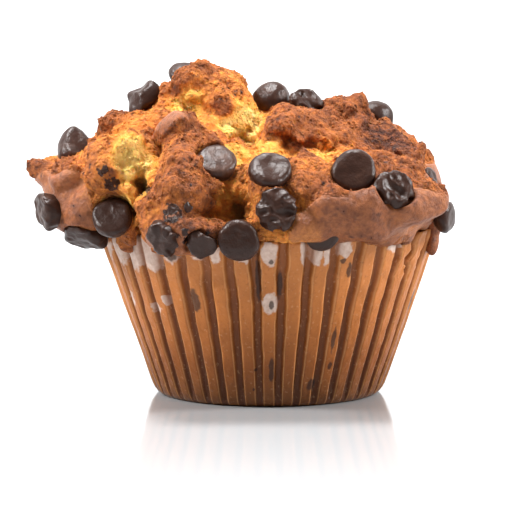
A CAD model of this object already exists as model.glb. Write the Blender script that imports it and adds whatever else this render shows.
# %% [markdown]
# # A chocolate chip muffin
#
# This lesson dresses a plain solid model of a muffin: a fluted paper case, one piece of cake with
# a burst, cracked top, and the chocolate chips that sit in it. The solids give the real size and
# the place of every piece. What they lack is the finish: torn crumb, baked skin, stained paper and
# chocolate that melted and set again. Each step below adds one of these.
#
# The model is in metres. A muffin is easier to think about in millimetres, so the sizes below are
# in millimetres and are turned into metres when a mesh is made.

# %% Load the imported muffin
import math

import bpy
import numpy as np
from mathutils import Euler, Matrix, Vector, noise


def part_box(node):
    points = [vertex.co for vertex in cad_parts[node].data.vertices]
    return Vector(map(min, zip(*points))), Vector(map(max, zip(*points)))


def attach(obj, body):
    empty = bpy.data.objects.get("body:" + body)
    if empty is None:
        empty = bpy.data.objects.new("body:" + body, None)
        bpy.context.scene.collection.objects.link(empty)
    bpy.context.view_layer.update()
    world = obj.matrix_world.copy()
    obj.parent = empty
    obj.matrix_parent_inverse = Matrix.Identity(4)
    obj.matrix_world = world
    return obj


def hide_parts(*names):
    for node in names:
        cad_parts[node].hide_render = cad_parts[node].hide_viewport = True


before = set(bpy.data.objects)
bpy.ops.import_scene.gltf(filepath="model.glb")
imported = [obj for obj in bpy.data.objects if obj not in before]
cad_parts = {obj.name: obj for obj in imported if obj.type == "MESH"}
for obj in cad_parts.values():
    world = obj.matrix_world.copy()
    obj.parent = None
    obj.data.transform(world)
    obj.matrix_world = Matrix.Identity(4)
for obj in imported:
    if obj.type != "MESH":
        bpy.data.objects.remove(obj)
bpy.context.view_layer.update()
MM = 0.001
case_low, case_high = (Vector(corner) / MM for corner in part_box("paper_case"))
CASE_HEIGHT = case_high.z
CASE_RIM = case_high.x  # radius at the rim, out to the crests of the flutes
print(f"case: {CASE_HEIGHT:.1f} mm high, {2 * CASE_RIM:.1f} mm across its rim")

# %% [markdown]
# ## The camera, the table and the light
#
# The muffin is seen from just above the table, from far away with a long lens, so that its sides
# hardly taper. The table is white and slightly glossy, and the light comes from large soft panels:
# small lamps would put hard points of light on the chocolate.

# %% Camera
VIEW_HEIGHT = math.radians(6.5)
VIEW_DISTANCE = 0.9
VIEW_CENTRE = Vector((-0.0029, 0.0, 0.0312))

camera_data = bpy.data.cameras.new("camera")
camera_data.lens = 275.9
camera_data.sensor_width = 36.0
camera_data.clip_start = 0.05
camera = bpy.data.objects.new("camera", camera_data)
bpy.context.scene.collection.objects.link(camera)
camera.location = VIEW_CENTRE + VIEW_DISTANCE * Vector((0.0, -math.cos(VIEW_HEIGHT), math.sin(VIEW_HEIGHT)))
camera.rotation_euler = (math.pi / 2 - VIEW_HEIGHT, 0.0, 0.0)
bpy.context.scene.camera = camera
bpy.context.scene.view_settings.view_transform = "Standard"
print("camera", VIEW_DISTANCE, "m away")


# %% A helper for plain materials
def new_material(name):
    """A material with an empty Principled shader, and its node tree."""
    material = bpy.data.materials.new(name)
    material.use_nodes = True
    tree = material.node_tree
    return material, tree, tree.nodes["Principled BSDF"]


# %% Table
TABLE_SIZE = 8.0
bpy.ops.mesh.primitive_plane_add(size=TABLE_SIZE)
table = bpy.context.object
table.name = "table"
table_material, _, table_shader = new_material("table_white")
table_shader.inputs["Base Color"].default_value = (0.42, 0.43, 0.44, 1.0)
table_shader.inputs["Roughness"].default_value = 0.10
table_shader.inputs["Emission Color"].default_value = (1.0, 1.0, 1.0, 1.0)
away = table_material.node_tree.nodes.new("ShaderNodeVectorMath")
away.operation = "LENGTH"
glow = table_material.node_tree.nodes.new("ShaderNodeMapRange")
glow.interpolation_type = "SMOOTHSTEP"
for socket, value in zip(glow.inputs, (0.0, 0.05, 0.20, 0.0, 0.30)):
    socket.default_value = value
table_place = table_material.node_tree.nodes.new("ShaderNodeTexCoord")
table_links = table_material.node_tree.links
table_links.new(table_place.outputs["Object"], away.inputs[0])
table_links.new(away.outputs["Value"], glow.inputs["Value"])
table_links.new(glow.outputs["Result"], table_shader.inputs["Emission Strength"])
table.data.materials.append(table_material)


# %% Backdrop
BACKDROP_BEHIND = 1.2
bpy.ops.mesh.primitive_plane_add(size=4.0, location=(0.0, BACKDROP_BEHIND, 2.0), rotation=(math.pi / 2, 0.0, 0.0))
backdrop = bpy.context.object
backdrop.name = "backdrop"
backdrop_material, _, backdrop_shader = new_material("backdrop_white")
backdrop_shader.inputs["Base Color"].default_value = (0.9, 0.9, 0.9, 1.0)
backdrop_shader.inputs["Emission Color"].default_value = (1.0, 1.0, 1.0, 1.0)
backdrop_shader.inputs["Emission Strength"].default_value = 0.95
backdrop.data.materials.append(backdrop_material)


# %% Light
def soft_panel(name, place, aim, size, power, colour=(1.0, 1.0, 1.0)):
    """A large square lamp at a place, turned to face a point. Both are in metres."""
    data = bpy.data.lights.new(name, "AREA")
    data.shape = "SQUARE"
    data.size = size
    data.energy = power
    data.color = colour
    lamp = bpy.data.objects.new(name, data)
    lamp.location = place
    lamp.rotation_euler = (Vector(aim) - Vector(place)).to_track_quat("-Z", "Y").to_euler()
    bpy.context.scene.collection.objects.link(lamp)
    return lamp


MUFFIN_MIDDLE = (0.0, 0.0, 0.045)
soft_panel("left_panel", (-0.55, -0.08, 0.42), MUFFIN_MIDDLE, 0.18, 6.2)
soft_panel("right_panel", (0.58, -0.05, 0.34), MUFFIN_MIDDLE, 0.18, 5.6)
soft_panel("top_panel", (-0.08, 0.05, 0.75), MUFFIN_MIDDLE, 0.22, 8.5)
world = bpy.data.worlds.new("studio")
bpy.context.scene.world = world
world.use_nodes = True
world.node_tree.nodes["Background"].inputs["Color"].default_value = (1.0, 1.0, 1.0, 1.0)
world.node_tree.nodes["Background"].inputs["Strength"].default_value = 0.30

# %% [markdown]
# ## Shapes from a field
#
# Torn cake has no edges to extrude and no outline to spin. It is easier to describe as a field: a
# number at every point of space, which is the distance to the surface, negative inside. Fields can
# be joined, cut, bent and roughened with plain arithmetic on arrays, and the surface is then
# drawn where the number is zero. Sculpting by hand would give the same kind of surface, but a
# field is repeatable, and its lobes and cracks have names and sizes.

# %% Fields: the distance to an ellipsoid
def turn_matrix(degrees):
    """The rotation by angles about X, Y and Z, as an array."""
    return np.array(Euler([math.radians(angle) for angle in degrees]).to_matrix(), dtype=np.float32)


def ellipsoid_field(points, centre, radii, turn):
    """Distance in millimetres to an ellipsoid, roughly, at an X, an Y and a Z array."""
    rotation = turn_matrix(turn)
    offset = [axis - np.float32(middle) for axis, middle in zip(points, centre)]
    near = far = 0.0
    for column, radius in enumerate(radii):
        along = sum(rotation[row, column] * offset[row] for row in range(3))
        near = near + (along / radius) ** 2
        far = far + (along / radius**2) ** 2
    near = np.sqrt(near)
    return near * (near - 1.0) / np.maximum(np.sqrt(far), 1e-6)


# %% Fields: joining and cutting with a soft edge
def soft_min(a, b, softness):
    """The smaller of two fields, blended where they are within softness of each other."""
    blend = np.maximum(softness - np.abs(a - b), 0.0) / softness
    return np.minimum(a, b) - 0.25 * softness * blend * blend


def soft_max(a, b, softness):
    return -soft_min(-a, -b, softness)


def rise(value, low, high):
    """A smooth step from 0 at low to 1 at high."""
    share = np.clip((value - low) / (high - low), 0.0, 1.0)
    return share * share * (3.0 - 2.0 * share)


# %% Fields: smooth random bumps
def spline_weights(axis, size, origin):
    """How much each knot of a lattice counts at each place on an axis."""
    place = (axis - origin) / size
    knot = np.floor(place).astype(int)
    part = place - knot
    cubic = (
        (1 - part) ** 3 / 6,
        (3 * part**3 - 6 * part**2 + 4) / 6,
        (-3 * part**3 + 3 * part**2 + 3 * part + 1) / 6,
        part**3 / 6,
    )
    weights = np.zeros((len(axis), knot.max() + 4), np.float32)
    for step, weight in enumerate(cubic):
        weights[np.arange(len(axis)), knot + step] = weight
    return weights


def bumps(axes, size, seed):
    """Random bumps about size across, mostly from -1 to 1, on the grid of three axes."""
    weights = [spline_weights(axis, size, axis[0] - 0.01 * size) for axis in axes]
    shape = [weight.shape[1] for weight in weights]
    knots = np.random.default_rng(seed).normal(0.0, 2.2, shape).astype(np.float32)
    for weight in weights:
        knots = np.tensordot(knots, weight, axes=(0, 1))
    return knots


# %% Fields: drawing the surface where the field is zero
def surface_of(field, axes):
    """Corners in millimetres and four-sided faces of the surface where a field is zero."""
    inside = field < 0.0
    cell_shape = np.array(field.shape) - 1
    corner_cells, corner_points, face_cells = [], [], []
    for axis in range(3):
        low = [slice(None)] * 3
        high = [slice(None)] * 3
        low[axis], high[axis] = slice(None, -1), slice(1, None)
        crossing = np.argwhere(inside[tuple(low)] != inside[tuple(high)])
        start = tuple(crossing.T)
        end = list(start)
        end[axis] = end[axis] + 1
        end = tuple(end)
        share = field[start] / (field[start] - field[end])
        point = np.stack([axes[i][start[i]] for i in range(3)], axis=1)
        point[:, axis] += share * (axes[axis][end[axis]] - axes[axis][start[axis]])
        one, two = (axis + 1) % 3, (axis + 2) % 3
        around = []
        for step_one, step_two in ((1, 1), (0, 1), (0, 0), (1, 0)):
            cell = crossing.copy()
            cell[:, one] -= step_one
            cell[:, two] -= step_two
            around.append(np.ravel_multi_index(tuple(cell.T), cell_shape, mode="clip"))
            corner_cells.append(around[-1])
            corner_points.append(point)
        around = np.stack(around, axis=1)
        facing_in = ~inside[start]
        around[facing_in] = around[facing_in][:, ::-1]
        face_cells.append(around)
    cells, owner = np.unique(np.concatenate(corner_cells), return_inverse=True)
    points = np.concatenate(corner_points)
    count = np.bincount(owner)
    corners = np.stack([np.bincount(owner, points[:, i]) / count for i in range(3)], axis=1)
    faces = np.searchsorted(cells, np.concatenate(face_cells))
    return corners, faces, np.unravel_index(cells, cell_shape)


def new_piece(name, corners, faces):
    """An object with a smooth mesh of four-sided faces, from corners in millimetres."""
    mesh = bpy.data.meshes.new(name)
    mesh.vertices.add(len(corners))
    mesh.vertices.foreach_set("co", (corners * MM).astype(np.float32).ravel())
    mesh.loops.add(faces.size)
    mesh.loops.foreach_set("vertex_index", faces.astype(np.int32).ravel())
    mesh.polygons.add(len(faces))
    mesh.polygons.foreach_set("loop_start", np.arange(0, faces.size, 4, dtype=np.int32))
    mesh.update(calc_edges=True)
    mesh.validate()
    mesh.shade_smooth()
    piece = bpy.data.objects.new(name, mesh)
    bpy.context.scene.collection.objects.link(piece)
    return piece


def add_attribute(piece, name, values):
    """Stores one number for each corner of a piece, for its material to read."""
    attribute = piece.data.attributes.new(name, "FLOAT", "POINT")
    attribute.data.foreach_set("value", np.asarray(values, dtype=np.float32))

# %% [markdown]
# ## Small helpers for node trees
#
# The paper case is made by Geometry Nodes and every finish by shader nodes. Both kinds of tree are
# built here from the same few helpers: one adds a node, one wires a link or a plain value into a
# socket, and the rest are the sums that come back again and again.

# %% Node helpers
def add_node(tree, kind, **settings):
    """A new node with some of its settings changed."""
    node = tree.nodes.new(kind)
    for name, value in settings.items():
        setattr(node, name, value)
    return node


def feed(tree, value, socket):
    """Wires another node's output into a socket, or sets the socket to a plain value."""
    if isinstance(value, bpy.types.NodeSocket):
        tree.links.new(value, socket)
    else:
        socket.default_value = value


def calc(tree, operation, *values):
    """The output of one Math node."""
    node = add_node(tree, "ShaderNodeMath", operation=operation)
    for value, socket in zip(values, node.inputs):
        feed(tree, value, socket)
    return node.outputs[0]


def vector_calc(tree, operation, *values):
    """The output of one Vector Math node: its vector, or its number for a length or a distance."""
    node = add_node(tree, "ShaderNodeVectorMath", operation=operation)
    for value, socket in zip(values, node.inputs):
        feed(tree, value, socket)
    return node.outputs["Value" if operation in ("DISTANCE", "LENGTH", "DOT_PRODUCT") else "Vector"]


def smooth_range(tree, value, low, high, to_low=0.0, to_high=1.0):
    """Turns low..high into to_low..to_high along a smooth step, and holds it outside."""
    node = add_node(tree, "ShaderNodeMapRange", interpolation_type="SMOOTHSTEP")
    for number, socket in zip((value, low, high, to_low, to_high), node.inputs):
        feed(tree, number, socket)
    return node.outputs[0]


def soft_noise(tree, place, size, detail=2.0, dimensions="3D", w=0.0):
    """A Noise Texture with blobs about size across, from 0 to 1 around 0.5."""
    node = add_node(tree, "ShaderNodeTexNoise", noise_dimensions=dimensions)
    feed(tree, place, node.inputs["Vector"])
    feed(tree, 1.0 / size, node.inputs["Scale"])
    feed(tree, detail, node.inputs["Detail"])
    if dimensions == "4D":
        feed(tree, w, node.inputs["W"])
    return node.outputs[0]


# %% Colours
def linear(red, green, blue):
    """A colour given by its three values from 0 to 255 on a screen, as light for a shader."""
    parts = [value / 255.0 for value in (red, green, blue)]
    parts = [part / 12.92 if part <= 0.04045 else ((part + 0.055) / 1.055) ** 2.4 for part in parts]
    return (*parts, 1.0)


def mix_colour(tree, share, low, high, blend="MIX"):
    """One colour blended over another by a share."""
    node = add_node(tree, "ShaderNodeMix", data_type="RGBA", blend_type=blend)
    feed(tree, share, node.inputs[0])
    feed(tree, low, node.inputs[6])
    feed(tree, high, node.inputs[7])
    return node.outputs[2]


def colour_ramp(tree, value, stops):
    """A colour read along a list of places and colours."""
    node = add_node(tree, "ShaderNodeValToRGB")
    ramp = node.color_ramp
    while len(ramp.elements) < len(stops):
        ramp.elements.new(0.5)
    for element, (place, colour) in zip(ramp.elements, stops):
        element.position = place
        element.color = colour
    feed(tree, value, node.inputs[0])
    return node.outputs[0]


def attribute(tree, name):
    """The number that a mesh carries at each corner under a name."""
    return add_node(tree, "ShaderNodeAttribute", attribute_name=name).outputs["Fac"]


def bump(tree, height, distance, strength=1.0, below=None):
    """A Bump node: height of 1 stands out by distance, in metres."""
    node = add_node(tree, "ShaderNodeBump")
    feed(tree, strength, node.inputs["Strength"])
    feed(tree, distance, node.inputs["Distance"])
    feed(tree, height, node.inputs["Height"])
    if below is not None:
        feed(tree, below, node.inputs["Normal"])
    return node.outputs[0]

# %% [markdown]
# ## The chips
#
# The chips are flattened drops of dark chocolate, almost 10 mm across. In the oven they softened
# and set again where they were, so no two are alike: some kept a smooth flat face, some cracked
# into flakes, and some folded over. Each one is a small field of its own: a dome cut off flat,
# bent and roughened by its own random bumps. Its place and size come from its plain solid.

# %% Where a chip sits
MUFFIN_HEART = Vector((-3.0, 0.0, 44.0))


def chip_seat(node):
    """A chip's outer centre, its outward direction, its width and height, and if its tip is out."""
    points = np.array([corner.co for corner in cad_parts[node].data.vertices]) / MM
    points = np.unique(np.round(points, 2), axis=0)
    middle = points.mean(axis=0)
    outward = Vector(np.linalg.svd(points - middle)[2][2])
    if outward.dot(Vector(middle) - MUFFIN_HEART) < 0.0:
        outward.negate()
    along = (points - middle) @ np.array(outward)
    across = np.linalg.norm(points - middle - np.outer(along, outward), axis=1)
    centre = Vector(middle) + outward * float(along.max())
    tip_out = across[along > along.max() - 0.5].max() < across[along < along.min() + 0.5].max()
    return centre, outward, 2.0 * float(across.max()), float(np.ptp(along)), bool(tip_out)


chip_nodes = sorted(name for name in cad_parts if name.startswith("chip_"))
seats = {node: chip_seat(node) for node in chip_nodes}
print(len(seats), "chips,", sum(seat[4] for seat in seats.values()), "with the tip out")


# %% [markdown]
# ## The cake
#
# As a muffin bakes, its top sets first and then bursts as the middle goes on rising. What shows is
# a handful of lobes that were pushed apart: brown and smooth where the skin held, golden and
# crumbly where it tore, and pale yellow down in the cracks that opened last. So the top is built
# as it grew, from lobes that are joined and hollows that are cut out of them.

# %% The lobes of the top, in millimetres: centre, radii, and turn in degrees
LOBES = {
    "core": ((-3, 2, 45), (36, 36, 17), (0, 6, 0)),
    "crown": ((-4, 9, 46.5), (44, 34, 12.5), (0, 2, 0)),
    "left": ((-38.5, -4, 47), (12.5, 23, 12), (0, 0, 4)),
    "left_hump": ((-36, -13, 50.5), (8.5, 17, 9.5), (0, 0, 0)),
    "left_knob": ((-45, -1, 48.5), (6.5, 12, 6), (0, 0, 0)),
    "left_valley": ((-29, -12, 48), (8, 21, 14), (0, 0, 0)),
    "shoulder": ((-28, 4, 55), (11, 18, 10.5), (0, -20, 0)),
    "mound": ((-17, 3, 57), (18, 17, 12.5), (0, 0, 0)),
    "peak": ((-13.5, 3, 62), (10.5, 13, 13.2), (0, -6, 0)),
    "peak_right": ((-8.5, 3, 66), (5.5, 9, 7.5), (0, 0, 0)),
    "front": ((-17.5, -21, 48.2), (10.2, 21.5, 14.2), (0, 8, -6)),
    "front_low": ((-18, -34, 40.5), (9, 10, 6), (0, 8, -4)),
    "ledge": ((14.5, 5, 54), (22, 25, 11), (0, 15, 0)),
    "brow": ((14.5, -19, 46.5), (23.5, 24.5, 10.8), (0, 5, 12)),
    "brow_left": ((0, -24, 46.5), (8.5, 18, 9.5), (0, 0, 0)),
    "brow_low": ((4, -33, 41.5), (13, 10, 5.5), (0, 0, 6)),
    "right": ((25, 4, 46.5), (15.5, 25, 11.5), (0, 14, 0)),
    "right_low": ((28.5, 2, 41.5), (12, 20, 6), (0, 0, 0)),
    "back_left": ((-17, 24, 50), (21, 17, 12.5), (18, -8, 14)),
    "back_right": ((17, 22, 49.5), (20, 18, 12), (16, 8, -16)),
}
JOIN = 1.2  # how softly lobes meet
# Small knobs that stand on the lobes: they are too slight for the solid.
KNOBS = {
    "red_lump": ((-35.5, 3, 61), (3.8, 5, 4.4), (0, 0, 0)),
    "facet": ((-19.5, -22, 60.5), (6.5, 5.5, 4.5), (0, -24, 0)),
    "front_ridge": ((-14, -30, 57), (3.2, 9, 4.2), (0, 20, -14)),
    "peak_tip": ((-14.0, 0, 71.5), (4.0, 5, 3.2), (0, 20, 0)),
    "ledge_lip": ((6, -14, 60.4), (10.5, 5, 2.0), (8, 4, 4)),
    "ledge_crest": ((16.5, 2, 63.2), (5, 6, 3.4), (0, 10, 0)),
    "right_ridge": ((29, -6, 56), (5, 12, 4.0), (0, 35, 8)),
    "brow_lip": ((31, -33, 46.5), (8.5, 7.5, 4.2), (0, -14, 30)),
    "left_ridge": ((-45, -14, 52.5), (4.5, 9, 3.6), (0, -20, 0)),
    "left_corner": ((-49, -5, 52), (4.2, 6, 3.6), (0, -10, 0)),
}
print(len(LOBES), "lobes and", len(KNOBS), "knobs")

# %% The hollows that opened between the lobes
HOLLOWS = {
    "left_crack": ((-28.5, -36, 46), (1.2, 9, 9), (0, -10, 0)),
    "deep_crack": ((-7.3, -41, 44.5), (1.7, 8.5, 8.5), (0, 6, 0)),
    "under_ledge": ((9, -24, 57.4), (12, 7, 1.8), (10, 8, 0)),
    "yellow_bowl": ((-5, -14, 63), (5.0, 8, 7), (0, 0, 0)),
    "peak_bowl": ((-17.5, -12, 66.5), (4.5, 6, 3.5), (0, 0, 0)),
}
CUT = 1.0  # how soft the edge of a hollow is

# %% Where the skin held: centre and radii of each smooth plate
SKINS = {
    "left": ((-49, -17, 43), (13, 13, 11)),
    "left_side": ((-47, 8, 47), (10, 11, 10)),
    "facet": ((-22.5, -21.5, 63), (3.4, 5, 3.6)),
    "front_low": ((-21, -43, 40), (8, 8, 6)),
    "brow": ((23, -42, 42), (18, 14, 9)),
    "brow_side": ((38, -24, 42), (12, 13, 9)),
    "right_edge": ((42, 4, 44), (9, 18, 9)),
    "right_back": ((34, 26, 46), (16, 16, 12)),
    "back": ((10, 40, 48), (18, 14, 13)),
    "back_left": ((-22, 40, 48), (15, 14, 13)),
    "left_back": ((-42, 26, 46), (12, 14, 12)),
    "top_back": ((20, 24, 62), (11, 10, 9)),
}
SKIN_THICKNESS = 0.8  # how far skin stands over torn crumb
SKIN_EDGE = 0.8  # half the width of the step at its edge
SKIN_RAGGED = 2.2  # how far its edge wanders

# %% The grid: fine where cake shows, coarse down inside the paper
FINE_STEP = 0.45
COARSE_STEP = 2.5
FINE_FROM = 33.0
MARGIN = 3.0
top_low, top_high = (Vector(corner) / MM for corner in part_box("cake"))


def steps(low, high, step):
    """Evenly spaced places from low to just past high."""
    return np.arange(low, high + step, step, dtype=np.float32)


grid = (
    steps(top_low.x - MARGIN, top_high.x + MARGIN, FINE_STEP),
    steps(top_low.y - MARGIN, top_high.y + MARGIN, FINE_STEP),
    np.concatenate(
        [
            steps(-COARSE_STEP, FINE_FROM - 2 * COARSE_STEP, COARSE_STEP),
            steps(FINE_FROM, top_high.z + MARGIN, FINE_STEP),
        ]
    ),
)
X, Y, Z = np.meshgrid(*grid, indexing="ij", sparse=True)
print("grid of", " x ".join(str(len(axis)) for axis in grid))

# %% Slow unevenness, the same that the solid cake has
SWELL_SIZE = 11.0
SWELL = 1.5
SWELL_STEP = 3.0


def linear_weights(axis, knots):
    """How much each knot counts at each place on an axis, along straight lines."""
    place = np.clip((axis - knots[0]) / (knots[1] - knots[0]), 0, len(knots) - 1.001)
    low = place.astype(int)
    weights = np.zeros((len(axis), len(knots)), np.float32)
    weights[np.arange(len(axis)), low] = 1.0 - (place - low)
    weights[np.arange(len(axis)), low + 1] = place - low
    return weights


def swell_of(axes):
    """How far the slow unevenness moves each point of a grid: one array for each direction."""
    knots = [steps(axis[0], axis[-1] + SWELL_STEP, SWELL_STEP) for axis in axes]
    moves = [
        [[noise.noise_vector(Vector((x, y, z)) / SWELL_SIZE) for z in knots[2]] for y in knots[1]]
        for x in knots[0]
    ]
    moves = SWELL * np.array(moves, dtype=np.float32)
    for axis, knot in zip(axes, knots):
        moves = np.tensordot(moves, linear_weights(axis, knot), axes=(0, 1))
    return moves


# %% Torn crumb is rougher than skin
def skin_reach(points):
    """Distance to the edge of the nearest plate of skin, in millimetres: negative inside it."""
    return np.minimum.reduce([
        ellipsoid_field(points, centre, radii, (0, 0, 0)) for centre, radii in SKINS.values()
    ])


CRUMB_GRAINS = ((5.0, 0.95), (2.5, 0.75), (1.3, 0.50))  # size and height of the torn crumb's lumps
CRUMB_LOW = 0.95
SKIN_RELIEF = 0.12


def crumb_height(axes):
    """How far torn crumb stands out: round lumps of three sizes with creases between them."""
    return sum(
        height * np.abs(bumps(axes, size, seed=31 + step))
        for step, (size, height) in enumerate(CRUMB_GRAINS)
    )


# %% The field of the whole cake
CASE_FOOT_RADIUS = 24.4
CASE_WALL_SLOPE = (CASE_RIM - 27.0) / (CASE_HEIGHT - 3.0)
FILLING_GAP = 2.6  # from the crests of the paper in to the cake that fills it


def case_radius(height):
    """Radius of the paper's outer crests at a height."""
    return CASE_RIM - CASE_WALL_SLOPE * (CASE_HEIGHT - height)


def block_round(centre, reach):
    """The part of the grid within a reach of a point, as slices."""
    return tuple(
        slice(np.searchsorted(axis, middle - reach), np.searchsorted(axis, middle + reach))
        for axis, middle in zip(grid, centre)
    )


SUNK_CHIPS = ("chip_13", "chip_17")  # the crust partly covers these
CHIP_BED = 1.6  # how far below a chip's outer end the crust meets it
TIP_BED = 4.4  # the same for a chip that lies with its pointed tip out
OPEN_IN_FRONT = ("chip_03", "chip_05", "chip_07", "chip_08")  # the crust tore away before these


def clear_chip(field, node):
    """Opens the crust outward of a chip, so that the chip lies on it in a shallow bed."""
    centre, outward, width, _, tip_out = seats[node]
    bed = TIP_BED if tip_out else CHIP_BED
    if node in OPEN_IN_FRONT:
        outward = (outward + Vector((0.0, -1.0, 0.0))).normalized()
    block = block_round(centre, width)
    offset = [axis - middle for axis, middle in zip((X, Y, Z), centre)]
    offset = [offset[0][block[0]], offset[1][:, block[1]], offset[2][:, :, block[2]]]
    along = sum(part * way for part, way in zip(offset, outward))
    across = np.sqrt(np.maximum(sum(part**2 for part in offset) - along**2, 0.0))
    opening = np.maximum(across - 0.5 * width - 0.2, -along - bed)
    field[block] = soft_max(field[block], -opening, 0.8)


def cake_field():
    """Distance to the surface of the cake at every point of the grid."""
    moves = swell_of(grid)
    for seed, (size, far) in enumerate(((6.0, 0.8), (2.8, 0.45))):
        for direction in range(3):
            moves[direction] += far * bumps(grid, size, seed=10 * seed + direction)
    points = [axis - move for axis, move in zip((X, Y, Z), moves)]
    field = np.full(moves.shape[1:], 8.0, np.float32)
    for centre, radii, turn in (*LOBES.values(), *KNOBS.values()):
        block = block_round(centre, max(radii) + 6.0)
        lobe = ellipsoid_field([axis[block] for axis in points], centre, radii, turn)
        field[block] = soft_min(field[block], lobe, JOIN)
    for centre, radii, turn in HOLLOWS.values():
        block = block_round(centre, max(radii) + 6.0)
        hollow = ellipsoid_field([axis[block] for axis in points], centre, radii, turn)
        field[block] = soft_max(field[block], -hollow, CUT)
    wander = SKIN_RAGGED * (bumps(grid, 5.0, seed=41) + 0.5 * bumps(grid, 2.0, seed=42))
    skin = rise(-skin_reach((X, Y, Z)) - wander, -SKIN_EDGE, SKIN_EDGE)
    torn = 1.0 - skin
    field += SKIN_THICKNESS * (0.5 - skin)
    field += torn * (CRUMB_LOW - crumb_height(grid)) + SKIN_RELIEF * bumps(grid, 2.4, seed=33)
    for node in chip_nodes:
        if node not in SUNK_CHIPS:
            clear_chip(field, node)
    around = np.hypot(X, Y)
    below_rim = Z - (CASE_HEIGHT + 0.2)
    field = np.maximum(field, -np.maximum(around - case_radius(Z) - 0.3, below_rim))
    filling = np.maximum(around - case_radius(Z) + FILLING_GAP, Z - CASE_HEIGHT - 4.0)
    filling = np.maximum(filling, 0.6 - Z)
    return np.minimum(field, filling), skin


field, skin_field = cake_field()
print("field made, from", round(float(field.min()), 1), "to", round(float(field.max()), 1))

# %% The surface
corners, faces, cells = surface_of(field, grid)
cake = new_piece("cake_crumb", corners, faces)
add_attribute(cake, "skin", skin_field[cells])
print(len(corners), "corners", len(faces), "faces")

# %% How each chip looks: the ones that aren't named are smooth
CHIP_LOOKS = {
    "chip_01": "ragged",
    "chip_02": "ragged",
    "chip_03": "folded",
    "chip_05": "folded",
    "chip_07": "bloomed",
    "chip_08": "flaked",
    "chip_12": "flaked",
    "chip_13": "flaked",
    "chip_14": "flaked",
    "chip_15": "flaked",
    "chip_19": "flaked",
    "chip_20": "ragged",
    "chip_23": "flaked",
    "chip_26": "ragged",
    "chip_29": "folded",
    "chip_32": "flaked",
}
# For each look: how far slow bumps bend it, how deep its flakes are, and their size in millimetres.
LOOKS = {
    "smooth": (0.28, 0.08, 1.8),
    "ragged": (0.45, 0.28, 1.3),
    "flaked": (0.40, 0.60, 1.25),
    "folded": (0.95, 0.35, 2.4),
    "bloomed": (0.40, 0.18, 2.0),
}


# %% The field of one chip, standing with its outer end up at height 0
def chip_field(points, width, height, tip_out):
    """Distance to a flattened drop. Its outer end is flat, or is the rounded tip."""
    x, y, z = points
    radius = 0.5 * width
    base = z if not tip_out else -height - z
    dome = ellipsoid_field((x, y, base + 0.22 * height), (0, 0, 0), (radius, radius, 0.80 * height), (0, 0, 0))
    return soft_max(dome, base, 1.3)


CHIP_STEP = 0.27
# A few chips settled a little away from their solids as the crust rose: under it, or out over it.
SETTLED = {
    "chip_03": Vector((-1.4, -2.0, -0.3)),
    "chip_05": Vector((-0.6, -2.0, 0.4)),
    "chip_07": Vector((0.0, -0.8, 0.6)),
    "chip_13": Vector((0.0, 1.4, 0.0)),
    "chip_17": Vector((-0.4, 2.0, -0.5)),
}


def make_chip(node, seed):
    """The finished mesh of one chip, in the place of its solid."""
    centre, outward, width, height, tip_out = seats[node]
    bend, flake, flake_size = LOOKS[CHIP_LOOKS.get(node, "smooth")]
    reach = 0.5 * width + 1.2
    axes = (
        steps(-reach, reach, CHIP_STEP),
        steps(-reach, reach, CHIP_STEP),
        steps(-height - 1.2, 1.2, CHIP_STEP),
    )
    points = [
        axis + bend * bumps(axes, 4.0, seed + step)
        for step, axis in enumerate(np.meshgrid(*axes, indexing="ij", sparse=True))
    ]
    field = chip_field(points, width - 0.3, height, tip_out)
    field = field + flake * (np.abs(bumps(axes, flake_size, seed + 3)) - 0.45)
    field = field + 0.05 * bumps(axes, 0.9, seed + 4)
    corners, faces, _ = surface_of(field, axes)
    turn = np.array(outward.to_track_quat("Z", "Y").to_matrix())
    middle = centre + SETTLED.get(node, Vector())
    chip = new_piece(f"chocolate_{node}", corners @ turn.T + np.array(middle), faces)
    return chip


chips = {}
for number, node in enumerate(chip_nodes):
    chips[node] = make_chip(node, seed=100 + 10 * number)
print("faces in all chips:", sum(len(chip.data.polygons) for chip in chips.values()))

# %% [markdown]
# ## The paper case
#
# A muffin case is a flat disc of greaseproof paper that a die presses into forty flutes. Its shape
# follows a rule, so Geometry Nodes make it: a grid is rolled into a cup, and each of its points is
# moved out or in by where it lies across its flute. The sizes are the tree's inputs, so the same
# tree could make a shallow bun case. A real case isn't perfect, so the flutes also wander a
# little, pinch together at one place and are crushed at another.

# %% The sizes of the case
FLUTES = 40
CASE_FOOT = 25.6  # radius where the wall would meet the table
FLUTE_DEPTH = 1.8
CASE_CORNER = 2.4  # how gently the base turns up into the wall
PAPER = 0.16
FLUTE_POINTS = 16
WALL_ROWS = 44
BASE_ROWS = 4
case_lean = math.atan2(CASE_RIM - 0.5 * FLUTE_DEPTH - CASE_FOOT, CASE_HEIGHT)
print(f"the wall leans out by {math.degrees(case_lean):.1f} degrees")


# %% Two fields that the case's tree uses
def fluted_wave(tree, phase):
    """1 on the broad crests at whole phases and -1 in the narrow valleys between them."""
    to_crest = calc(tree, "MULTIPLY", calc(tree, "PINGPONG", calc(tree, "FRACT", phase), 0.5), 2.0)
    wave = smooth_range(tree, to_crest, 0.46, 0.80, 1.0, -1.0)
    fold_line = smooth_range(tree, to_crest, 0.88, 1.0, 0.0, 0.25)
    return calc(tree, "ADD", wave, fold_line)


def patch(tree, place, middle, radius):
    """1 at a middle point, fading to 0 at a radius from it."""
    return smooth_range(tree, vector_calc(tree, "DISTANCE", place, middle), 0.0, radius, 1.0, 0.0)


def centred_noise(tree, place, size, detail=1.0):
    return calc(tree, "SUBTRACT", soft_noise(tree, place, size, detail), 0.5)


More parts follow.
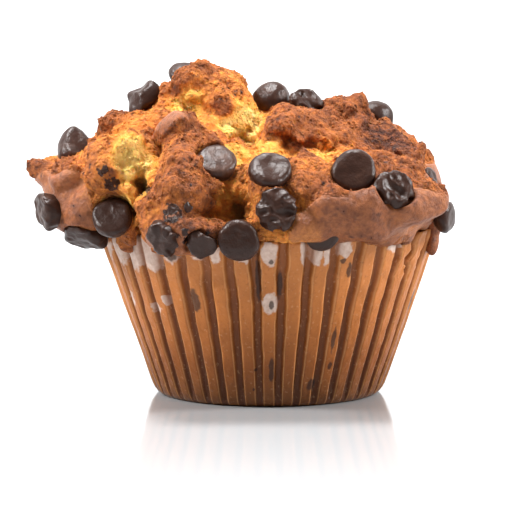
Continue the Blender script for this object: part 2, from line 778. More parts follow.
def round_axis(tree, radius, turn, height):
    """A point at a radius and a height, turned from the front towards the right."""
    joined = add_node(tree, "ShaderNodeCombineXYZ")
    feed(tree, calc(tree, "MULTIPLY", radius, calc(tree, "SINE", turn)), joined.inputs["X"])
    forward = calc(tree, "MULTIPLY", radius, calc(tree, "COSINE", turn))
    feed(tree, calc(tree, "MULTIPLY", forward, -1.0), joined.inputs["Y"])
    feed(tree, height, joined.inputs["Z"])
    return joined.outputs[0]


# %% The tree that rolls and flutes the case
def case_tree():
    """Geometry Nodes that make the fluted cup, with sizes in millimetres and the result in metres."""
    tree = bpy.data.node_groups.new("fluted_case", "GeometryNodeTree")
    tree.interface.new_socket("Geometry", in_out="OUTPUT", socket_type="NodeSocketGeometry")
    for name, kind in (
        ("Flutes", "Int"),
        ("Height", "Float"),
        ("Foot radius", "Float"),
        ("Lean", "Float"),
        ("Corner", "Float"),
        ("Flute depth", "Float"),
        ("Unevenness", "Float"),
        ("Pinch place", "Vector"),
        ("Crush place", "Vector"),
        ("Paper", "Material"),
    ):
        tree.interface.new_socket(name, in_out="INPUT", socket_type=f"NodeSocket{kind}")
    given = add_node(tree, "NodeGroupInput").outputs

    # a flat grid: u runs round the case from 0 to 1, v from the middle of the base to the rim
    sheet = add_node(tree, "GeometryNodeMeshGrid")
    feed(tree, 1.0, sheet.inputs["Size X"])
    feed(tree, 1.0, sheet.inputs["Size Y"])
    feed(tree, calc(tree, "MULTIPLY_ADD", given["Flutes"], FLUTE_POINTS, 1.0), sheet.inputs["Vertices X"])
    feed(tree, BASE_ROWS + WALL_ROWS + 1, sheet.inputs["Vertices Y"])
    flat = add_node(tree, "ShaderNodeSeparateXYZ")
    feed(tree, add_node(tree, "GeometryNodeInputPosition").outputs[0], flat.inputs[0])
    u = calc(tree, "ADD", flat.outputs["X"], 0.5)
    v = calc(tree, "ADD", flat.outputs["Y"], 0.5)

    # the way along the paper: across the base, then round the corner and up the wall
    base_share = BASE_ROWS / (BASE_ROWS + WALL_ROWS)
    base = calc(tree, "SUBTRACT", given["Foot radius"], given["Corner"])
    wall = calc(tree, "DIVIDE", given["Height"], calc(tree, "COSINE", given["Lean"]))
    wall = calc(tree, "ADD", wall, given["Corner"])
    on_base = calc(tree, "MULTIPLY", calc(tree, "MINIMUM", calc(tree, "DIVIDE", v, base_share), 1.0), base)
    up = calc(tree, "DIVIDE", calc(tree, "SUBTRACT", v, base_share), 1.0 - base_share)
    length = calc(tree, "MULTIPLY_ADD", calc(tree, "MAXIMUM", up, 0.0), wall, on_base)
    past = calc(tree, "SUBTRACT", length, given["Foot radius"])
    climb = calc(tree, "SMOOTH_MAX", past, 0.0, given["Corner"])
    height = calc(tree, "MULTIPLY", climb, calc(tree, "COSINE", given["Lean"]))
    inward = calc(tree, "SUBTRACT", 1.0, calc(tree, "SINE", given["Lean"]))
    radius = calc(tree, "SUBTRACT", length, calc(tree, "MULTIPLY", climb, inward))
    turn = calc(tree, "MULTIPLY", u, math.tau)
    plain = round_axis(tree, radius, turn, height)

    # how loose, pinched or crushed the paper is here
    share_up = calc(tree, "DIVIDE", height, given["Height"])
    fade = smooth_range(tree, height, 0.3, 5.0)
    loose = calc(tree, "MULTIPLY", calc(tree, "MULTIPLY_ADD", share_up, 0.8, 0.3), fade)
    loose = calc(tree, "MULTIPLY", loose, given["Unevenness"])
    pinched = calc(tree, "MULTIPLY", patch(tree, plain, given["Pinch place"], 5.5), fade)
    crushed = patch(tree, plain, given["Crush place"], 9.0)

    # where the flutes wander to
    wander = calc(tree, "MULTIPLY_ADD", centred_noise(tree, plain, 3.0), 0.10,
                  calc(tree, "MULTIPLY", centred_noise(tree, plain, 9.0), 0.26))
    wander = calc(tree, "MULTIPLY", wander, loose)
    wander = calc(tree, "MULTIPLY_ADD", crushed, centred_noise(tree, plain, 3.4), wander)
    wave = fluted_wave(tree, calc(tree, "MULTIPLY_ADD", u, given["Flutes"], wander))

    # how deep they are
    depth = calc(tree, "POWER", calc(tree, "MAXIMUM", share_up, 0.0), 0.33)
    depth = calc(tree, "MULTIPLY", depth, smooth_range(tree, height, 0.25, 2.2))
    depth = calc(tree, "MULTIPLY", depth, calc(tree, "MULTIPLY_ADD", pinched, -0.7, 1.0))
    depth = calc(tree, "MULTIPLY", depth, calc(tree, "MULTIPLY_ADD", centred_noise(tree, plain, 9.0), 0.5, 1.0))
    depth = calc(tree, "MULTIPLY", depth, calc(tree, "MULTIPLY", given["Flute depth"], 0.5))
    out = calc(tree, "MULTIPLY_ADD", depth, wave, calc(tree, "MULTIPLY", pinched, -0.6))
    crumple = calc(tree, "MULTIPLY", centred_noise(tree, plain, 2.6, 2.0), crushed)
    out = calc(tree, "MULTIPLY_ADD", crumple, 2.6, out)
    sag = calc(tree, "MULTIPLY", centred_noise(tree, plain, 24.0, 0.0), share_up)
    out = calc(tree, "MULTIPLY_ADD", sag, 1.4, out)
    rim_drift = calc(tree, "MULTIPLY", centred_noise(tree, plain, 5.0), share_up)
    rim = calc(tree, "MULTIPLY_ADD", rim_drift, 0.6, height)
    place = round_axis(tree, calc(tree, "ADD", radius, out), turn, rim)

    # keep what the finish needs to know, then move the grid's points and close the seam
    last = sheet.outputs["Mesh"]
    for name, value in (("flute", wave), ("crush", crushed), ("phase", u)):
        keep = add_node(tree, "GeometryNodeStoreNamedAttribute", data_type="FLOAT", domain="POINT")
        feed(tree, last, keep.inputs["Geometry"])
        feed(tree, name, keep.inputs["Name"])
        feed(tree, value, keep.inputs["Value"])
        last = keep.outputs[0]
    moved = add_node(tree, "GeometryNodeSetPosition")
    feed(tree, last, moved.inputs["Geometry"])
    scaled = add_node(tree, "ShaderNodeVectorMath", operation="SCALE")
    feed(tree, place, scaled.inputs[0])
    feed(tree, MM, scaled.inputs["Scale"])
    feed(tree, scaled.outputs[0], moved.inputs["Position"])
    closed = add_node(tree, "GeometryNodeMergeByDistance")
    feed(tree, moved.outputs[0], closed.inputs["Geometry"])
    feed(tree, 0.01 * MM, closed.inputs["Distance"])
    smooth = add_node(tree, "GeometryNodeSetShadeSmooth")
    feed(tree, closed.outputs[0], smooth.inputs["Geometry"])
    plain_mesh = add_node(tree, "GeometryNodeRealizeInstances")
    feed(tree, smooth.outputs[0], plain_mesh.inputs["Geometry"])
    painted = add_node(tree, "GeometryNodeSetMaterial")
    feed(tree, plain_mesh.outputs[0], painted.inputs["Geometry"])
    feed(tree, given["Paper"], painted.inputs["Material"])
    feed(tree, painted.outputs[0], add_node(tree, "NodeGroupOutput").inputs[0])
    return tree


# %% Run a tree and keep its mesh
def run_tree(name, tree, sizes, finish=()):
    """The plain mesh that a Geometry Nodes tree makes from named sizes, as an object."""
    seed_mesh = bpy.data.meshes.new(f"{name}_seed")
    maker = bpy.data.objects.new(f"{name}_maker", seed_mesh)
    bpy.context.scene.collection.objects.link(maker)
    modifier = maker.modifiers.new("shape", "NODES")
    modifier.node_group = tree
    sockets = {item.name: item for item in tree.interface.items_tree if item.in_out == "INPUT"}
    for size_name, value in sizes.items():
        modifier[sockets[size_name].identifier] = value
    for kind, settings in finish:
        extra = maker.modifiers.new(kind.lower(), kind)
        for setting, value in settings.items():
            setattr(extra, setting, value)
    made = maker.evaluated_get(bpy.context.evaluated_depsgraph_get())
    mesh = bpy.data.meshes.new_from_object(made)
    mesh.name = name
    bpy.data.objects.remove(maker)
    piece = bpy.data.objects.new(name, mesh)
    bpy.context.scene.collection.objects.link(piece)
    print(name, len(mesh.polygons), "faces")
    return piece


# %% Make the case
paper_material, paper_tree, paper_shader = new_material("baked_paper")
paper_case = run_tree(
    "paper_case_fluted",
    case_tree(),
    {
        "Flutes": FLUTES,
        "Height": CASE_HEIGHT,
        "Foot radius": CASE_FOOT,
        "Lean": case_lean,
        "Corner": CASE_CORNER,
        "Flute depth": FLUTE_DEPTH,
        "Unevenness": 1.0,
        "Pinch place": (-12.5, -33.5, 31.0),
        "Crush place": (31.0, -19.5, 33.0),
        "Paper": paper_material,
    },
    finish=[("SOLIDIFY", {"thickness": PAPER * MM, "offset": -1.0, "use_even_offset": True})],
)

# %% [markdown]
# ### What baking did to the paper
#
# Butter soaks the paper, so it turns brown and lets the cake show through, darker in the valleys
# where the paper touches the cake. Where the paper stands free it stays dry and whitish: at the
# tips of the flutes and in a few spots lower down. Chocolate that touches it leaves dark smudges.
# Each mark is an ellipse on the wall, given by its place round the case counted in flutes from
# the front and its height, and the finish then gives it a ragged edge.

# %% The marks on the paper
# the middle in flutes from the front, the height, half its width in flutes, half its height
DRY_MARKS = {
    "left_tip_1": (-8.2, 36.0, 0.50, 4.5),
    "left_tip_2": (-6.95, 36.0, 0.48, 4.8),
    "left_tip_3": (-5.95, 35.5, 0.50, 5.0),
    "left_tip_4": (-4.9, 35.5, 0.50, 4.8),
    "left_tip_5": (-3.9, 36.5, 0.42, 3.6),
    "front_tip_1": (-2.75, 36.5, 0.28, 2.8),
    "front_tip_2": (-2.05, 36.5, 0.28, 2.8),
    "front_tip_3": (-0.95, 36.5, 0.35, 2.6),
    "middle_tip": (0.0, 36.2, 0.30, 3.0),
    "right_tip_1": (1.27, 36.5, 0.16, 3.2),
    "right_tip_2": (1.75, 36.5, 0.25, 3.2),
    "right_tip_3": (2.2, 36.2, 0.20, 2.8),
    "right_tip_4": (2.87, 36.8, 0.30, 2.2),
    "right_tip_5": (5.3, 37.0, 0.45, 2.0),
    "low_left_1": (-7.3, 23.4, 0.34, 2.2),
    "low_left_2": (-5.4, 22.0, 0.38, 1.5),
    "low_left_3": (-4.68, 24.2, 0.20, 1.3),
    "oval": (0.05, 24.6, 0.34, 2.5),
    "back_1": (-12.0, 36.5, 0.45, 4.0),
    "back_2": (-14.0, 36.0, 0.45, 3.4),
    "back_3": (-18.0, 36.5, 0.42, 3.6),
    "back_4": (13.0, 36.4, 0.40, 3.2),
    "back_5": (10.0, 36.8, 0.42, 3.0),
    "back_6": (17.0, 25.0, 0.36, 2.2),
    "back_7": (-16.0, 20.0, 0.36, 1.8),
}
DARK_MARKS = {
    "blotch": (-3.88, 35.0, 0.22, 1.8),
    "ring": (0.07, 34.4, 0.12, 0.7),
    "spots": (2.85, 34.0, 0.14, 0.8),
    "smudge": (-3.15, 24.8, 0.30, 2.8),
    "groove": (-0.42, 31.0, 0.14, 6.5),
    "swirl": (0.10, 24.3, 0.12, 1.3),
    "smear": (0.42, 28.6, 0.13, 3.6),
    "groove_spot": (3.17, 31.8, 0.14, 2.2),
    "low_front": (0.12, 9.0, 0.14, 3.6),
    "streak": (3.0, 15.5, 0.12, 3.4),
    "low_spot": (3.05, 9.6, 0.14, 1.0),
    "foot_spot_1": (2.2, 5.4, 0.28, 1.6),
    "foot_spot_2": (-0.66, 9.0, 0.10, 0.5),
    "foot_spot_3": (-0.8, 4.5, 0.10, 0.5),
    "side_smudge": (8.2, 22.0, 0.30, 3.0),
    "back_smudge": (15.1, 27.0, 0.30, 3.4),
    "back_streak": (-15.6, 14.0, 0.14, 4.0),
}


def place_marks(points, marks):
    """How strongly each point lies in one of the marks: 1 at a middle and 0 at twice its half size."""
    flutes_round = np.degrees(np.arctan2(points[:, 0], -points[:, 1])) / (360.0 / FLUTES)
    strength = np.zeros(len(points), np.float32)
    for place, height, half_width, half_height in marks.values():
        round_by = (flutes_round - place + 0.5 * FLUTES) % FLUTES - 0.5 * FLUTES
        reach = np.hypot(round_by / half_width, (points[:, 2] - height) / half_height)
        strength = np.maximum(strength, rise(-reach, -2.0, 0.0))
    return strength


def corner_points(piece):
    """The corners of a piece's mesh, in millimetres."""
    points = np.empty(3 * len(piece.data.vertices), np.float32)
    piece.data.vertices.foreach_get("co", points)
    return points.reshape(-1, 3) / MM


case_points = corner_points(paper_case)
add_attribute(paper_case, "dry", place_marks(case_points, DRY_MARKS))
add_attribute(paper_case, "dark", place_marks(case_points, DARK_MARKS))
case_reach = np.hypot(case_points[:, 0], case_points[:, 1]).max()
print(f"the case reaches {case_reach:.1f} mm from its axis and stands {case_points[:, 2].min():.2f} mm up")

# %% The finish of the paper
place = add_node(paper_tree, "ShaderNodeTexCoord").outputs["Object"]
height = add_node(paper_tree, "ShaderNodeSeparateXYZ")
feed(paper_tree, place, height.inputs[0])
height = height.outputs["Z"]
flute = attribute(paper_tree, "flute")
crest = smooth_range(paper_tree, flute, -0.9, 0.9)

crest_colour = colour_ramp(paper_tree, calc(paper_tree, "DIVIDE", height, 0.0388), [
    (0.02, linear(112, 66, 28)),
    (0.25, linear(146, 82, 34)),
    (0.55, linear(182, 108, 48)),
    (1.0, linear(190, 118, 60)),
])
valley_colour = colour_ramp(paper_tree, calc(paper_tree, "DIVIDE", height, 0.0388), [
    (0.02, linear(84, 44, 18)),
    (0.30, linear(104, 55, 22)),
    (0.70, linear(126, 68, 26)),
    (1.0, linear(150, 88, 44)),
])
soaked = mix_colour(paper_tree, crest, valley_colour, crest_colour)
edge = smooth_range(paper_tree, flute, 0.0, 0.75)
edge = calc(paper_tree, "MULTIPLY", edge, smooth_range(paper_tree, flute, 0.80, 0.99, 1.0, 0.0))
soaked = mix_colour(paper_tree, calc(paper_tree, "MULTIPLY", edge, 0.45), soaked, linear(228, 164, 104))
blotches = smooth_range(paper_tree, soft_noise(paper_tree, place, 0.0045, 3.0), 0.35, 0.68)
soaked = mix_colour(paper_tree, calc(paper_tree, "MULTIPLY", blotches, 0.35), soaked,
                    mix_colour(paper_tree, 0.5, soaked, linear(96, 50, 18)))
speckle = smooth_range(paper_tree, soft_noise(paper_tree, place, 0.00055, 2.0), 0.60, 0.74)
soaked = mix_colour(paper_tree, calc(paper_tree, "MULTIPLY", speckle, 0.30), soaked, linear(94, 52, 26))
freckle = smooth_range(paper_tree, soft_noise(paper_tree, place, 0.0008, 2.0), 0.60, 0.76)
soaked = mix_colour(paper_tree, calc(paper_tree, "MULTIPLY", freckle, 0.22), soaked, linear(226, 178, 132))

ragged = calc(paper_tree, "SUBTRACT", soft_noise(paper_tree, place, 0.0016, 4.0), 0.5)
dry = calc(paper_tree, "MULTIPLY_ADD", ragged, 0.9, attribute(paper_tree, "dry"))
dry = smooth_range(paper_tree, dry, 0.42, 0.62)
dry = calc(paper_tree, "MULTIPLY", dry, smooth_range(paper_tree, flute, -0.7, 0.6, 0.25, 1.0))
dry_colour = mix_colour(paper_tree, soft_noise(paper_tree, place, 0.0010, 3.0), linear(176, 140, 120),
                        linear(236, 222, 212))
looked = mix_colour(paper_tree, calc(paper_tree, "MULTIPLY", dry, 0.85), soaked, dry_colour)
dark = calc(paper_tree, "MULTIPLY_ADD", ragged, 0.8, attribute(paper_tree, "dark"))
dark = smooth_range(paper_tree, dark, 0.45, 0.72)
looked = mix_colour(paper_tree, calc(paper_tree, "MULTIPLY", dark, 0.8), looked, linear(44, 26, 20))
feed(paper_tree, looked, paper_shader.inputs["Base Color"])
feed(paper_tree, smooth_range(paper_tree, dry, 0.0, 1.0, 0.42, 0.75), paper_shader.inputs["Roughness"])
paper_shader.inputs["Specular IOR Level"].default_value = 0.25
fibre = soft_noise(paper_tree, place, 0.0007, 3.0)
wrinkle = soft_noise(paper_tree, place, 0.0030, 2.0)
relief = bump(paper_tree, wrinkle, 0.0010, 0.5)
feed(paper_tree, bump(paper_tree, fibre, 0.00018, 0.5, relief), paper_shader.inputs["Normal"])

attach(paper_case, "root")
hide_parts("paper_case")

# %% [markdown]
# ## The colour of the crust
#
# One number says how brown each point is: 0 is the pale yellow of crumb that opened last, and 1 is
# burnt. Three things set it. Places that stick out of the lobes' soft outline saw more heat than
# those down in the cracks; lumps of crumb brown on their tops; and some patches simply browned
# more or less than their neighbours. The last are painted over the rest, one after another.

# %% Patches that browned more or less: centre, radius, and how brown
BROWNED = {
    "left_slope": ((-31, -11, 61.5), 9, 0.38),
    "slope_low": ((-34, -24.5, 60), 8, 0.42),
    "hump": ((-38.5, -29.5, 52), 9, 0.50),
    "fissure_top": ((-30, -29.5, 57.5), 7, 0.06),
    "fissure_mid": ((-29.5, -30.5, 54.5), 7, 0.04),
    "fissure_low": ((-28.5, -29, 48.5), 5.5, 0.16),
    "hump_burnt": ((-35, -30, 52.5), 2.2, 0.66),
    "knob": ((-49, -1, 53), 5, 0.45),
    "left_plate": ((-46, -21.5, 44), 10, 0.70),
    "red_lump": ((-36, 2, 63), 6, 0.64),
    "front_body": ((-18, -38, 53), 13, 0.60),
    "front_facet": ((-21, -21.5, 62.5), 6, 0.62),
    "front_low": ((-20.5, -43, 41), 8, 0.74),
    "front_edge": ((-8.5, -34, 47.5), 6, 0.30),
    "peak_body": ((-12, -4, 70), 10, 0.44),
    "peak_bowl": ((-18.5, -6, 66.5), 5.5, 0.12),
    "peak_right": ((-6, -3, 70), 5, 0.42),
    "peak_tip": ((-14, -2, 74), 3.5, 0.62),
    "peak_line": ((-21.5, -5, 69.5), 2.2, 0.68),
    "centre": ((-6.5, -7, 61), 9, 0.00),
    "centre_low": ((-7.5, -24, 57), 5, 0.14),
    "peak_patch": ((-10.5, -9, 66.5), 3.4, 0.62),
    "hollow_left": ((0, -21, 58), 5.5, 0.20),
    "hollow_right": ((10.5, -19, 56), 7, 0.22),
    "ledge_mid": ((8, -15, 61.5), 8, 0.60),
    "ledge_right": ((15, -12, 62), 8, 0.62),
    "brow_upper": ((9.5, -36, 54), 8, 0.54),
    "brow_low": ((22, -42, 43), 17, 0.70),
    "right_rough": ((27, -10, 58), 11, 0.80),
    "right_edge": ((40, 0, 44), 12, 0.74),
    "strip": ((4, -41, 40), 5, 0.34),
    "strip_right": ((9, -42, 40), 4, 0.36),
    "back_fissure": ((-4, 34, 56), 7, 0.12),
    "back_hollow": ((12, 30, 60), 6, 0.25),
    "back_plate": ((-24, 36, 50), 14, 0.68),
}
# %% Chocolate that smeared over the crust: centre and radius
SMEARS = {
    "hump": ((-36.8, -29.3, 53.7), 2.2),
    "hump_low": ((-34.8, -28.7, 50.7), 2.8),
    "front": ((-21.5, -43, 45.5), 3.6),
    "front_low": ((-17.5, -42.5, 41), 4.0),
    "peak": ((-10.2, -6.5, 68.4), 1.2),
    "left_crack": ((-27, -32, 49.5), 1.8),
    "right_hole": ((36.6, -28, 49), 3.0),
    "back": ((-12, 44, 50), 3.0),
}


def paint(share, points, centre, radius, value):
    """Pulls a number at each point towards a value inside a ball with a soft edge."""
    away = np.linalg.norm(points - np.array(centre, np.float32), axis=1)
    weight = rise(-away / radius, -1.0, -0.45)
    return share + weight * (value - share)


# %% How deep each point lies below the soft outline of the lobes
OUTLINE_JOIN = 9.0
cake_points = corner_points(cake)
cake_axes = tuple(cake_points[:, i] for i in range(3))
outline = np.full(len(cake_points), 30.0, np.float32)
for lobe_centre, lobe_radii, lobe_turn in LOBES.values():
    outline = soft_min(outline, ellipsoid_field(cake_axes, lobe_centre, lobe_radii, lobe_turn), OUTLINE_JOIN)
depth_below = np.clip(-outline, 0.0, 8.0)
print(f"the crust lies {depth_below.mean():.1f} mm below its outline on average")

# %% How brown and how smooth each point is
browned = 0.66 - 0.075 * depth_below
for patch_centre, patch_radius, patch_brown in BROWNED.values():
    browned = paint(browned, cake_points, patch_centre, patch_radius, patch_brown)
smeared = np.zeros(len(cake_points), np.float32)
for smear_centre, smear_radius in SMEARS.values():
    smeared = paint(smeared, cake_points, smear_centre, smear_radius, 1.0)
add_attribute(cake, "browned", browned)
shaded = rise(depth_below, 3.2, 5.5) * rise(-cake_points[:, 2], -54.0, -50.0)
add_attribute(cake, "smeared", smeared)
add_attribute(cake, "in_crack", shaded)

# %% The finish of the crust
cake_material, cake_tree, cake_shader = new_material("baked_crust")
place = add_node(cake_tree, "ShaderNodeTexCoord").outputs["Object"]
skin = attribute(cake_tree, "skin")
torn = calc(cake_tree, "SUBTRACT", 1.0, skin)

patchy = calc(cake_tree, "SUBTRACT", soft_noise(cake_tree, place, 0.0052, 3.0), 0.5)
grainy = calc(cake_tree, "SUBTRACT", soft_noise(cake_tree, place, 0.0013, 4.0), 0.5)
mottling = calc(cake_tree, "MULTIPLY_ADD", patchy, 0.42, calc(cake_tree, "MULTIPLY", grainy, 0.60))
mottling = calc(cake_tree, "MULTIPLY", mottling, smooth_range(cake_tree, attribute(cake_tree, "browned"), 0.05, 0.5, 0.16, 1.0))
toast = calc(cake_tree, "ADD", mottling, attribute(cake_tree, "browned"))
crust_colour = colour_ramp(cake_tree, toast, [
    (0.00, linear(255, 205, 118)),
    (0.14, linear(255, 184, 84)),
    (0.32, linear(232, 142, 58)),
    (0.52, linear(184, 104, 46)),
    (0.68, linear(148, 82, 42)),
    (0.84, linear(92, 48, 30)),
    (1.00, linear(44, 23, 14)),
])
skin_colour = colour_ramp(cake_tree, toast, [
    (0.30, linear(186, 116, 60)),
    (0.62, linear(152, 90, 52)),
    (0.80, linear(118, 66, 38)),
    (1.00, linear(70, 38, 24)),
])
skin_speck = smooth_range(cake_tree, soft_noise(cake_tree, place, 0.0006, 3.0), 0.38, 0.64)
skin_colour = mix_colour(cake_tree, calc(cake_tree, "MULTIPLY", skin_speck, 0.35), skin_colour, linear(112, 60, 34))
crust_colour = mix_colour(cake_tree, skin, crust_colour, skin_colour)
crack_dark = calc(cake_tree, "MULTIPLY", attribute(cake_tree, "in_crack"), 0.85)
crust_colour = mix_colour(cake_tree, crack_dark, crust_colour, linear(40, 22, 14))
burnt = smooth_range(cake_tree, soft_noise(cake_tree, place, 0.0024, 3.0), 0.66, 0.76)
burnt = calc(cake_tree, "MULTIPLY", burnt, smooth_range(cake_tree, toast, 0.35, 0.65))
crust_colour = mix_colour(cake_tree, calc(cake_tree, "MULTIPLY", burnt, 0.75), crust_colour, linear(66, 34, 20))
smear_edge = calc(cake_tree, "MULTIPLY", attribute(cake_tree, "smeared"), 0.75)
smear_edge = calc(cake_tree, "MULTIPLY_ADD", patchy, 1.4, smear_edge)
smear_edge = calc(cake_tree, "MULTIPLY_ADD", grainy, 1.8, smear_edge)
smear = smooth_range(cake_tree, smear_edge, 0.48, 0.62)
crust_colour = mix_colour(cake_tree, calc(cake_tree, "MULTIPLY", smear, 0.9), crust_colour, linear(40, 24, 20))
feed(cake_tree, crust_colour, cake_shader.inputs["Base Color"])

rough = smooth_range(cake_tree, skin, 0.0, 1.0, 0.78, 0.42)
rough = calc(cake_tree, "MULTIPLY_ADD", smear, -0.3, rough)
feed(cake_tree, rough, cake_shader.inputs["Roughness"])
feed(cake_tree, smooth_range(cake_tree, toast, 0.1, 0.6, 0.45, 0.12), cake_shader.inputs["Subsurface Weight"])
cake_shader.inputs["Subsurface Radius"].default_value = (1.0, 0.55, 0.25)
cake_shader.inputs["Subsurface Scale"].default_value = 0.0012
cake_shader.inputs["Specular IOR Level"].default_value = 0.3

# granular crumb: fine lumps, pores between them, and a few larger open holes
lumps = add_node(cake_tree, "ShaderNodeTexNoise")
feed(cake_tree, place, lumps.inputs["Vector"])
feed(cake_tree, 620.0, lumps.inputs["Scale"])
feed(cake_tree, 5.0, lumps.inputs["Detail"])
feed(cake_tree, 0.68, lumps.inputs["Roughness"])
pores = add_node(cake_tree, "ShaderNodeTexVoronoi", feature="F1")
feed(cake_tree, place, pores.inputs["Vector"])
feed(cake_tree, 780.0, pores.inputs["Scale"])
pit = smooth_range(cake_tree, pores.outputs["Distance"], 0.10, 0.42)
holes = add_node(cake_tree, "ShaderNodeTexVoronoi", feature="F1")
feed(cake_tree, place, holes.inputs["Vector"])
feed(cake_tree, 300.0, holes.inputs["Scale"])
hole = smooth_range(cake_tree, holes.outputs["Distance"], 0.10, 0.26)
relief = bump(cake_tree, lumps.outputs[0], 0.0026, smooth_range(cake_tree, torn, 0.0, 1.0, 0.40, 1.0))
relief = bump(cake_tree, calc(cake_tree, "MULTIPLY", pit, torn), 0.0007, 0.9, relief)
relief = bump(cake_tree, hole, 0.0009, smooth_range(cake_tree, torn, 0.0, 1.0, 0.15, 0.8), relief)
feed(cake_tree, relief, cake_shader.inputs["Normal"])
cake.data.materials.append(cake_material)

# %% [markdown]
# ## The finish of the chocolate
#
# Dark chocolate is nearly black and a little glossy. Where it was handled or warmed its cocoa
# butter came up as bloom, a thin grey-brown film that is duller than the rest. Each chip carries
# how much bloom it has, and noise breaks the film up.

# %% The chocolate
chocolate, chocolate_tree, chocolate_shader = new_material("dark_chocolate")
place = add_node(chocolate_tree, "ShaderNodeTexCoord").outputs["Object"]
film = calc(chocolate_tree, "MULTIPLY_ADD", soft_noise(chocolate_tree, place, 0.0022, 3.0), 0.9, -0.45)
film = calc(chocolate_tree, "ADD", film, attribute(chocolate_tree, "bloom"))
film = smooth_range(chocolate_tree, film, 0.1, 1.0)
chocolate_colour = mix_colour(chocolate_tree, film, linear(50, 28, 19), linear(114, 80, 64))
feed(chocolate_tree, chocolate_colour, chocolate_shader.inputs["Base Color"])
feed(chocolate_tree, smooth_range(chocolate_tree, film, 0.0, 1.0, 0.36, 0.60), chocolate_shader.inputs["Roughness"])
dents = bump(chocolate_tree, soft_noise(chocolate_tree, place, 0.0016, 3.0), 0.0006, 0.35)
feed(chocolate_tree, bump(chocolate_tree, soft_noise(chocolate_tree, place, 0.0004, 2.0), 0.0001, 0.5, dents),
      chocolate_shader.inputs["Normal"])
chocolate_shader.inputs["Specular IOR Level"].default_value = 0.28

BLOOM = {"chip_10": 0.32, "chip_07": 0.24, "chip_11": 0.12, "chip_18": 0.12, "chip_01": 0.16, "chip_03": 0.14}
PLAIN_BLOOM = 0.04
for node, chip in chips.items():
    amount = np.full(len(chip.data.vertices), BLOOM.get(node, PLAIN_BLOOM), np.float32)
    add_attribute(chip, "bloom", amount)
    chip.data.materials.append(chocolate)
print(len(chips), "chips finished")

# %% [markdown]
# ## Loose crumb on the torn crust
#
# Where the crust tore, small grains of crumb stand on the surface and catch the light. They are
# many and alike, so Geometry Nodes scatter them: points are spread over the crust, thickly where it
# is torn and not at all on skin, and a small angular grain is put on each, turned and stretched at
# random. Each grain takes the brownness of the crust under it, so it needs no colour of its own.

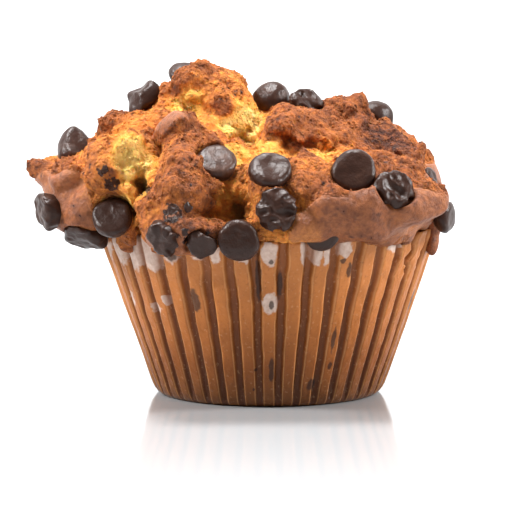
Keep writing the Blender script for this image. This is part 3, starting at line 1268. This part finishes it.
# %% The tree that scatters the grains
def grain_tree():
    """Geometry Nodes that scatter angular grains over the torn part of a crust."""
    tree = bpy.data.node_groups.new("crumb_grains", "GeometryNodeTree")
    tree.interface.new_socket("Geometry", in_out="OUTPUT", socket_type="NodeSocketGeometry")
    for name, kind in (
        ("Crust", "Object"),
        ("Grains per square metre", "Float"),
        ("Smallest", "Float"),
        ("Largest", "Float"),
        ("Lowest", "Float"),
        ("Seed", "Int"),
        ("Finish", "Material"),
    ):
        tree.interface.new_socket(name, in_out="INPUT", socket_type=f"NodeSocket{kind}")
    given = add_node(tree, "NodeGroupInput").outputs
    crust = add_node(tree, "GeometryNodeObjectInfo")
    feed(tree, given["Crust"], crust.inputs["Object"])

    skin_here = add_node(tree, "GeometryNodeInputNamedAttribute", data_type="FLOAT")
    skin_here.inputs["Name"].default_value = "skin"
    place = add_node(tree, "GeometryNodeInputPosition").outputs[0]
    height = add_node(tree, "ShaderNodeSeparateXYZ")
    feed(tree, place, height.inputs[0])
    above = calc(tree, "GREATER_THAN", height.outputs["Z"], given["Lowest"])
    torn_here = smooth_range(tree, skin_here.outputs["Attribute"], 0.1, 0.7, 1.0, 0.0)
    clumps = smooth_range(tree, soft_noise(tree, place, 0.006, 2.0), 0.40, 0.62, 0.15, 1.0)
    density = calc(tree, "MULTIPLY", calc(tree, "MULTIPLY", torn_here, above), clumps)

    spread = add_node(tree, "GeometryNodeDistributePointsOnFaces", distribute_method="RANDOM")
    feed(tree, crust.outputs["Geometry"], spread.inputs["Mesh"])
    feed(tree, calc(tree, "MULTIPLY", density, given["Grains per square metre"]), spread.inputs["Density"])
    feed(tree, given["Seed"], spread.inputs["Seed"])

    grain = add_node(tree, "GeometryNodeMeshIcoSphere")
    grain.inputs["Radius"].default_value = 1.0
    grain.inputs["Subdivisions"].default_value = 1
    turn = add_node(tree, "FunctionNodeRandomValue", data_type="FLOAT_VECTOR")
    turn.inputs["Max"].default_value = (math.tau, math.tau, math.tau)
    size = add_node(tree, "FunctionNodeRandomValue", data_type="FLOAT")
    feed(tree, given["Smallest"], size.inputs[2])
    feed(tree, given["Largest"], size.inputs[3])
    stretch = add_node(tree, "FunctionNodeRandomValue", data_type="FLOAT_VECTOR")
    stretch.inputs["Min"].default_value = (0.55, 0.55, 0.45)
    stretch.inputs["Max"].default_value = (1.30, 1.10, 0.90)
    scale = add_node(tree, "ShaderNodeVectorMath", operation="SCALE")
    feed(tree, stretch.outputs["Value"], scale.inputs[0])
    feed(tree, size.outputs[1], scale.inputs["Scale"])
    put = add_node(tree, "GeometryNodeInstanceOnPoints")
    feed(tree, spread.outputs["Points"], put.inputs["Points"])
    feed(tree, grain.outputs["Mesh"], put.inputs["Instance"])
    feed(tree, turn.outputs["Value"], put.inputs["Rotation"])
    feed(tree, scale.outputs[0], put.inputs["Scale"])
    plain_mesh = add_node(tree, "GeometryNodeRealizeInstances")
    feed(tree, put.outputs[0], plain_mesh.inputs["Geometry"])
    painted = add_node(tree, "GeometryNodeSetMaterial")
    feed(tree, plain_mesh.outputs[0], painted.inputs["Geometry"])
    feed(tree, given["Finish"], painted.inputs["Material"])
    feed(tree, painted.outputs[0], add_node(tree, "NodeGroupOutput").inputs[0])
    return tree


# %% Scatter them
grains = run_tree(
    "crumb_grains",
    grain_tree(),
    {
        "Crust": cake,
        "Grains per square metre": 1.1e6,
        "Smallest": 0.16 * MM,
        "Largest": 0.42 * MM,
        "Lowest": 40.0 * MM,
        "Seed": 12,
        "Finish": cake_material,
    },
)
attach(grains, "root")
print(len(grains.data.polygons) // 20, "grains")

# %% [markdown]
# ## A drip of batter
#
# At the right a little batter ran over the rim before it set, and baked to a brown bead on the
# paper. It is a field of three balls that flow into one another, with the crust's own finish.

# %% The drip: centre and radii of each ball, in millimetres
DRIP = (
    ((37.4, -11.6, 40.4), (2.2, 2.4, 2.4)),
    ((37.2, -12.2, 37.2), (1.2, 1.3, 2.6)),
    ((36.9, -12.4, 34.4), (1.3, 1.4, 1.9)),
)
DRIP_STEP = 0.3
drip_axes = (steps(33, 42, DRIP_STEP), steps(-17, -7, DRIP_STEP), steps(30, 45, DRIP_STEP))
drip_points = np.meshgrid(*drip_axes, indexing="ij", sparse=True)
drip_field = np.full([len(axis) for axis in drip_axes], 9.0, np.float32)
for ball_centre, ball_radii in DRIP:
    drip_field = soft_min(drip_field, ellipsoid_field(drip_points, ball_centre, ball_radii, (0, 0, 0)), 1.5)
drip_field += 0.15 * bumps(drip_axes, 1.6, seed=71)
drip_corners, drip_faces, _ = surface_of(drip_field, drip_axes)
drip = new_piece("batter_drip", drip_corners, drip_faces)
add_attribute(drip, "browned", np.full(len(drip_corners), 0.74, np.float32))
add_attribute(drip, "skin", np.ones(len(drip_corners), np.float32))
add_attribute(drip, "smeared", np.zeros(len(drip_corners), np.float32))
add_attribute(drip, "in_crack", np.zeros(len(drip_corners), np.float32))
drip.data.materials.append(cake_material)
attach(drip, "root")

# %% Everything rides on the one body
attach(cake, "root")
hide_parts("cake")
for node, chip in chips.items():
    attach(chip, "root")
    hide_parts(node)
